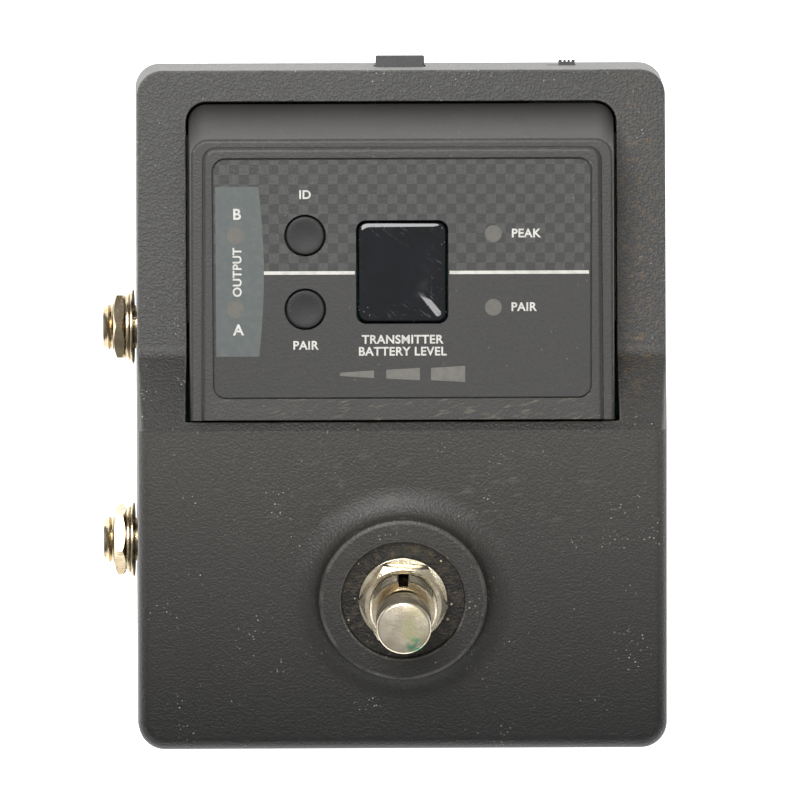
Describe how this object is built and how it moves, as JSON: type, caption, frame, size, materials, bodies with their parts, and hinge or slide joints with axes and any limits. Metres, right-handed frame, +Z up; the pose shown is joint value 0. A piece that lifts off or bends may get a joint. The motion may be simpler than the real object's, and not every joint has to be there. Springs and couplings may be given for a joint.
{
  "type": "floor pedal wireless receiver",
  "caption": "Floor-pedal wireless receiver: a cast wedge body with a raised control module, a plunger foot switch, side output jacks and rear power and mode fittings.",
  "frame": {"origin": "on the ground under the feet, in the middle of the bounding box", "axes": "+Z up, +Y towards the rear panel, +X to the player's right, so the output jacks are on the -X side"},
  "size_m": [0.1052, 0.1292, 0.0691],
  "materials": {
    "body_paint": "dark grey fine-textured powder coat on die-cast aluminium",
    "module_plastic": "black ABS, fine spark-eroded texture",
    "label_film": "dark grey printed polycarbonate film, satin",
    "display_window": "smoked acrylic, polished",
    "button_rubber": "black silicone rubber, satin",
    "nickel_plate": "nickel plate, worn and a little tarnished",
    "zinc_steel": "zinc-plated steel",
    "base_steel": "black painted sheet steel",
    "foot_rubber": "black rubber",
    "circuit_board": "green solder mask on glass-epoxy",
    "contact_brass": "bright brass",
    "lamp_resin": "diffused epoxy resin",
    "black_moulding": "black glass-filled nylon",
    "grey_moulding": "light grey moulding"
  },
  "bodies": {
    "body": {"enclosure": "body_paint", "base_plate": "base_steel", "base_screw_1": "zinc_steel", "base_screw_2": "zinc_steel", "base_screw_3": "zinc_steel", "base_screw_4": "zinc_steel", "rubber_foot_1": "foot_rubber", "rubber_foot_2": "foot_rubber", "rubber_foot_3": "foot_rubber", "rubber_foot_4": "foot_rubber", "module_housing": "module_plastic", "module_screw_1": "zinc_steel", "module_screw_2": "zinc_steel", "module_screw_3": "zinc_steel", "module_screw_4": "zinc_steel", "control_overlay": "label_film", "display_lens": "display_window", "number_display": "grey_moulding", "display_board": "circuit_board", "id_tact_switch": "zinc_steel", "pair_tact_switch": "zinc_steel", "peak_led": "lamp_resin", "pair_led": "lamp_resin", "output_b_led": "lamp_resin", "output_a_led": "lamp_resin", "antenna_left": "circuit_board", "antenna_right": "circuit_board", "foot_switch_bushing": "nickel_plate", "foot_switch_washer": "nickel_plate", "foot_switch_nut": "nickel_plate", "foot_switch_body": "black_moulding", "foot_switch_spring": "zinc_steel", "foot_switch_terminals": "contact_brass", "output_b_bushing": "nickel_plate", "output_b_washer_1": "nickel_plate", "output_b_washer_2": "nickel_plate", "output_b_nut": "nickel_plate", "output_b_jack": "black_moulding", "output_b_contact": "contact_brass", "output_a_bushing": "nickel_plate", "output_a_washer_1": "nickel_plate", "output_a_washer_2": "nickel_plate", "output_a_nut": "nickel_plate", "output_a_jack": "black_moulding", "output_a_contact": "contact_brass", "main_board": "circuit_board", "radio_shield": "zinc_steel", "dc_jack": "black_moulding", "dc_jack_pin": "nickel_plate", "mode_switch_frame": "zinc_steel", "ribbon_cable": "grey_moulding"},
    "foot_plunger": {"foot_switch_plunger": "nickel_plate"},
    "id_button": {"id_button": "button_rubber"},
    "pair_button": {"pair_button": "button_rubber"},
    "mode_slider": {"mode_switch_slider": "black_moulding"}
  },
  "joints": [
    {"name": "foot_switch_press", "type": "slide", "parent": "body", "child": "foot_plunger", "axis": [0, 0.2924, -0.9563], "range_m": [0, 0.0025], "stiffness_N_per_m": 4000, "springref_m": -0.002, "deforming": ["foot_switch_spring"]},
    {"name": "id_button_press", "type": "slide", "parent": "body", "child": "id_button", "axis": [0, 0.1045, -0.9945], "range_m": [0, 0.0004], "stiffness_N_per_m": 3000, "springref_m": -0.0002},
    {"name": "pair_button_press", "type": "slide", "parent": "body", "child": "pair_button", "axis": [0, 0.1045, -0.9945], "range_m": [0, 0.0004], "stiffness_N_per_m": 3000, "springref_m": -0.0002},
    {"name": "mode_switch_slide", "type": "slide", "parent": "body", "child": "mode_slider", "axis": [-1, 0, 0], "range_m": [0, 0.002]}
  ]
}
